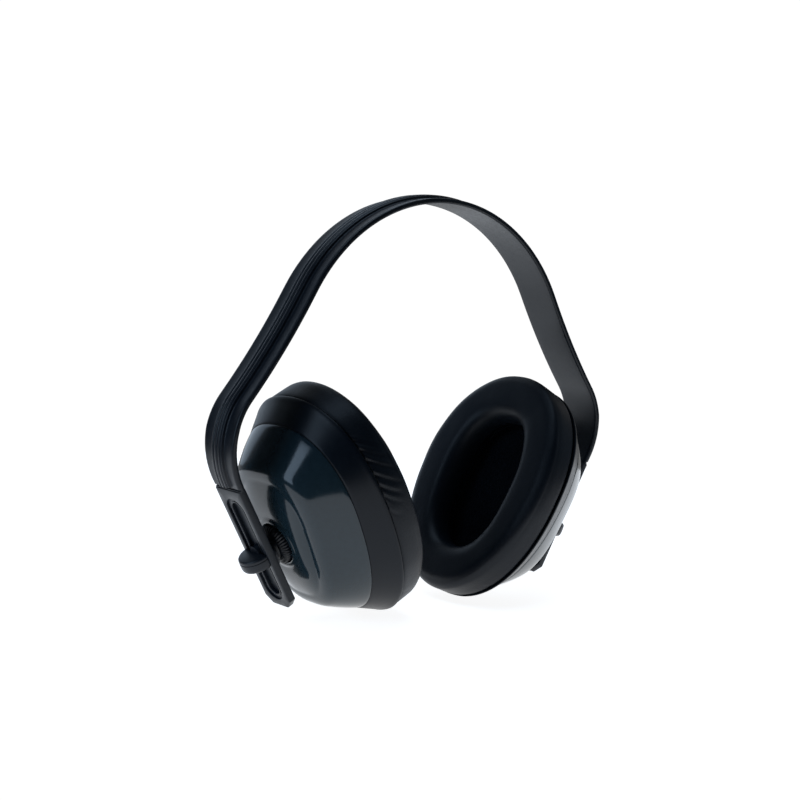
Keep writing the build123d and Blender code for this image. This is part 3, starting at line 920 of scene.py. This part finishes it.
def make_liner(name, side):
    """Foam block behind the ear, with a pillowed, porous front."""
    inset = SHELL_WALL + LINER_GAP
    count = 200
    front = outline(SHELL_RIM, inset, SHELL_TOP_WIDENING, count)
    back = outline(shell_shape(LINER_START), inset + 1.2, SHELL_TOP_WIDENING, count)
    rings = [[in_cup(*(xy * 0.02), LINER_START) for xy in back], [in_cup(*xy, LINER_START) for xy in back]]
    rings.append([in_cup(*xy, SHELL_RIM_DEPTH) for xy in front])
    rings.append([in_cup(*xy, LINER_END - 2.2) for xy in front])
    for share in np.concatenate([[0.995, 0.985], np.linspace(0.97, 0.02, 44)]):
        ring = []
        for x, y in front * share:
            rough = noise.noise(Vector((x * 0.9, y * 0.9, side * 5.0))) * 0.22
            rough += noise.noise(Vector((x * 0.16, y * 0.16, side * 2.0))) * 0.55
            edge = max(0.0, (share - 0.86) / 0.14)
            ring.append(in_cup(x, y, LINER_END - 0.85 + rough - 1.3 * edge ** 2))
        rings.append(ring)
    points, faces = loft(rings, False)
    return make_piece(name, points, faces, side)


# ---------------------------------------------------------------- assembly
BLEND_TO_STATION = 128.0
BASE_CUSHION = cushion_rings()
BASE_CUSHION = puffed(BASE_CUSHION)

for word, side in (("left", -1), ("right", 1)):
    arm_body, slider_body = word + "_arm", word + "_slider"
    band = make_band_half(word + "_band_half", side)
    finish_piece(band, BAND_PLASTIC, "band_plastic", None)
    end_point = band_point(BLEND_TO_STATION)[0] * MM
    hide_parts("headband_crown", word + "_headband_arm")
    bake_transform(band)
    finish_piece(make_arm_plate(word + "_arm_plate", side), BAND_PLASTIC, "band_plastic", arm_body)
    knob = make_knob(word + "_knob", side)
    finish_piece(knob, BAND_PLASTIC, "band_plastic", slider_body, word + "_slider_knob")
    hub = make_hub(word + "_ribbed_hub", side)
    finish_piece(hub, HUB_PLASTIC, "hub_plastic", word + "_hub", word + "_pivot_hub")
    cup = word + "_cup"
    finish_piece(make_shell(word + "_shell", side), SHELL_PLASTIC, "shell_plastic", cup, word + "_cup_shell")
    finish_piece(make_rim_ring(word + "_ring", side), RING_PLASTIC, "ring_plastic", cup, word + "_rim_ring")
    cushion = make_cushion(word + "_cushion", BASE_CUSHION, side)
    finish_piece(cushion, VINYL, "cushion_vinyl", cup, word + "_cushion_skin", word + "_cushion_foam")
    plate = make_weld_plate(word + "_weld_plate", side)
    finish_piece(plate, RING_PLASTIC, "ring_plastic", cup, word + "_cushion_plate")
    liner = make_liner(word + "_liner", side)
    finish_piece(liner, LINER_FOAM, "liner_foam", cup, word + "_liner_foam")

CARRIED = {
    "friction_washer": BAND_PLASTIC, "ball_seat": SEAT_RUBBER, "hub_retainer": HUB_PLASTIC,
}
for node_name, node in frame["nodes"].items():
    for ending, material in CARRIED.items():
        if node_name.endswith(ending):
            node.data.materials.clear()
            node.data.materials.append(material)

# ---------------------------------------------------------------- camera
AZIMUTH, ELEVATION, ROLL = math.radians(40.67), math.radians(5.70), math.radians(2.85)
TARGET = Vector((-0.01251, 0.0, -0.08464))
DISTANCE = 0.6375
back = Vector((
    -math.sin(AZIMUTH) * math.cos(ELEVATION), -math.cos(AZIMUTH) * math.cos(ELEVATION), math.sin(ELEVATION),
))
level = Vector((math.cos(AZIMUTH), -math.sin(AZIMUTH), 0.0))
upright = back.cross(level)
right = level * math.cos(ROLL) + upright * math.sin(ROLL)
up = upright * math.cos(ROLL) - level * math.sin(ROLL)
camera_data = bpy.data.cameras.new("camera")
camera_data.lens = 66.66
camera_data.sensor_width = 36.0
camera = bpy.data.objects.new("camera", camera_data)
bpy.context.scene.collection.objects.link(camera)
turn = Matrix((right, up, back)).transposed().to_4x4()
camera.matrix_world = Matrix.Translation(TARGET + back * DISTANCE) @ turn
bpy.context.scene.camera = camera

# ---------------------------------------------------------------- floor and light
FLOOR_Z = CAD_LOW.z - 0.0005
FLOOR_CENTRE = (0.075, 0.088)
FLOOR_RADII = (0.02, 0.1, 0.2, 0.3, 0.36)
FLOOR_SIDES = 96


def make_floor():
    """Round pale floor."""
    count = FLOOR_SIDES
    rings = []
    for radius in FLOOR_RADII:
        ring = []
        for k in range(count):
            angle = 2 * math.pi * k / count
            x = FLOOR_CENTRE[0] + radius * math.cos(angle)
            y = FLOOR_CENTRE[1] + radius * math.sin(angle)
            ring.append((x, y, FLOOR_Z))
        rings.append(ring)
    points = [p for ring in rings for p in ring]
    faces = []
    for i in range(len(rings) - 1):
        for k in range(count):
            after = (k + 1) % count
            faces.append((i * count + k, i * count + after, (i + 1) * count + after, (i + 1) * count + k))
    faces.append(tuple(range(count)))
    mesh = bpy.data.meshes.new("floor")
    mesh.from_pydata(points, [], faces)
    floor = bpy.data.objects.new("floor", mesh)
    bpy.context.scene.collection.objects.link(floor)
    material, tree, shader = node_material("pale_floor", (0.90, 0.90, 0.91), 0.75, 0.2)
    where = object_coordinates(tree)
    paint = mix_colors(tree, noise_of(tree, where, 3.0), (0.88, 0.88, 0.89), (0.93, 0.93, 0.94))
    tree.links.new(paint, shader.inputs["Base Color"])
    shader.inputs["Emission Color"].default_value = (1.0, 1.0, 1.0, 1.0)
    shader.inputs["Emission Strength"].default_value = 0.90
    mesh.materials.append(material)
    return floor


make_floor()


def area_light(name, place, aim, size, power, color=(1.0, 1.0, 1.0)):
    data = bpy.data.lights.new(name, "AREA")
    data.shape = "RECTANGLE"
    data.size, data.size_y = size
    data.energy = power
    data.color = color
    light = bpy.data.objects.new(name, data)
    bpy.context.scene.collection.objects.link(light)
    direction = Vector(aim) - Vector(place)
    aimed = direction.to_track_quat("-Z", "Y").to_matrix().to_4x4()
    light.matrix_world = Matrix.Translation(Vector(place)) @ aimed
    return light


CENTRE = (0.0, 0.0, -0.09)
COOL = (0.58, 0.77, 1.0)
area_light("left_box", (-1.15, 0.12, 0.28), CENTRE, (0.6, 0.9), 5.0, COOL)
area_light("right_box", (1.1, -0.55, 0.35), CENTRE, (0.8, 1.0), 0.8, COOL)
area_light("top_box", (0.0, 0.1, 1.2), CENTRE, (1.1, 1.0), 5.5, COOL)
area_light("back_box", (0.3, 1.3, 0.35), CENTRE, (1.6, 1.0), 3.6, COOL)

world = bpy.data.worlds.new("studio")
world.use_nodes = True
bpy.context.scene.world = world
tree = world.node_tree
background = tree.nodes["Background"]
direction = add_node(tree, "ShaderNodeTexCoord").outputs["Generated"]
facing = add_node(tree, "ShaderNodeVectorMath", operation="DOT_PRODUCT")
tree.links.new(direction, facing.inputs[0])
facing.inputs[1].default_value = (-0.60, -0.80, 0.0)
studio = spread_value(tree, facing.outputs["Value"], 0.34, 0.012, -0.80, -0.42)
path = add_node(tree, "ShaderNodeLightPath")
choose = add_node(tree, "ShaderNodeMix", data_type="FLOAT")
tree.links.new(path.outputs["Is Camera Ray"], choose.inputs["Factor"])
tree.links.new(studio, choose.inputs["A"])
choose.inputs["B"].default_value = 1.04
tree.links.new(choose.outputs["Result"], background.inputs["Strength"])
background.inputs["Color"].default_value = (1.0, 1.0, 1.0, 1.0)
bpy.context.scene.view_settings.view_transform = "Standard"
